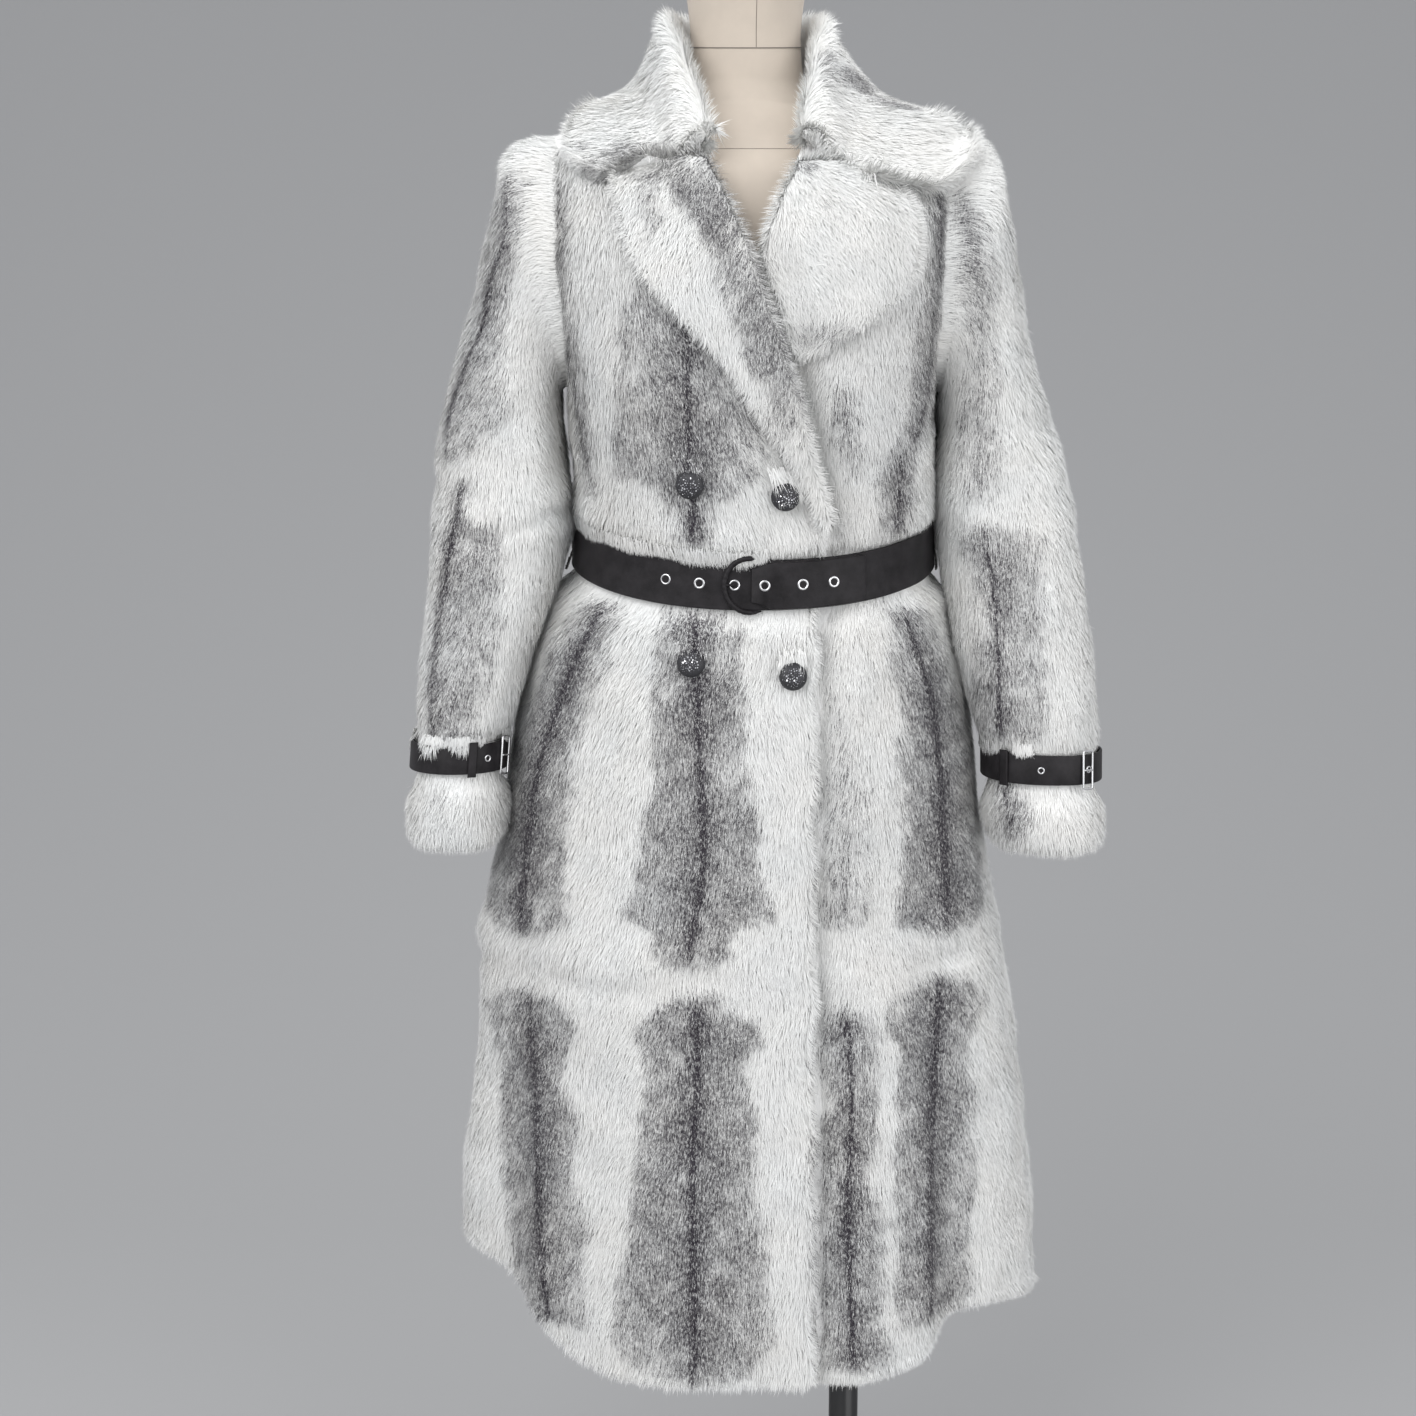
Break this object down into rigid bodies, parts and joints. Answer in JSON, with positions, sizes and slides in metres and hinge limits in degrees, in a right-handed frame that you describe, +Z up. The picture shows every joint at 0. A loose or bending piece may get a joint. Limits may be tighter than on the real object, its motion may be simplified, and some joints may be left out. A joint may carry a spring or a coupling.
{
  "type": "fur coat on a dress form",
  "caption": "Belted double-breasted fur coat with a notched collar, worn by a limbless dress form on a post and round base.",
  "frame": {"origin": "centre of the base plate's underside, on the surface it stands on", "axes": "+Z up, the coat's front faces -Y, +X towards the wearer's left"},
  "size_m": [0.625, 0.4499, 1.5785],
  "materials": {
    "fur": "white short-haired fur with salt-and-pepper grey stripes, soft and dense",
    "belt_leather": "black, fine grained, semi-matt",
    "silver_metal": "polished silver",
    "loop_thread": "pale grey braided thread",
    "button_glitter": "dark domes set with small glittering stones",
    "form_linen": "cream jersey cover with fine seams",
    "stand_paint": "gloss black"
  },
  "bodies": {
    "root": {"back": "fur", "front_right": "fur", "front_left": "fur", "sleeve_right": "fur", "sleeve_left": "fur", "collar": "fur", "lapel_right": "fur", "lapel_left": "fur", "belt": "belt_leather", "belt_tongue": "belt_leather", "belt_buckle": "belt_leather", "cuff_strap_right": "belt_leather", "cuff_strap_left": "belt_leather", "cuff_keeper_right": "belt_leather", "cuff_keeper_left": "belt_leather", "eyelet_1": "silver_metal", "eyelet_2": "silver_metal", "eyelet_3": "silver_metal", "eyelet_4": "silver_metal", "eyelet_5": "silver_metal", "eyelet_6": "silver_metal", "cuff_buckle_right": "silver_metal", "cuff_buckle_left": "silver_metal", "belt_loop_right": "loop_thread", "belt_loop_left": "loop_thread", "button_1": "button_glitter", "button_2": "button_glitter", "button_3": "button_glitter", "button_4": "button_glitter", "form_torso": "form_linen", "form_neck_cap": "form_linen", "post": "stand_paint", "base_plate": "stand_paint"}
  },
  "joints": []
}
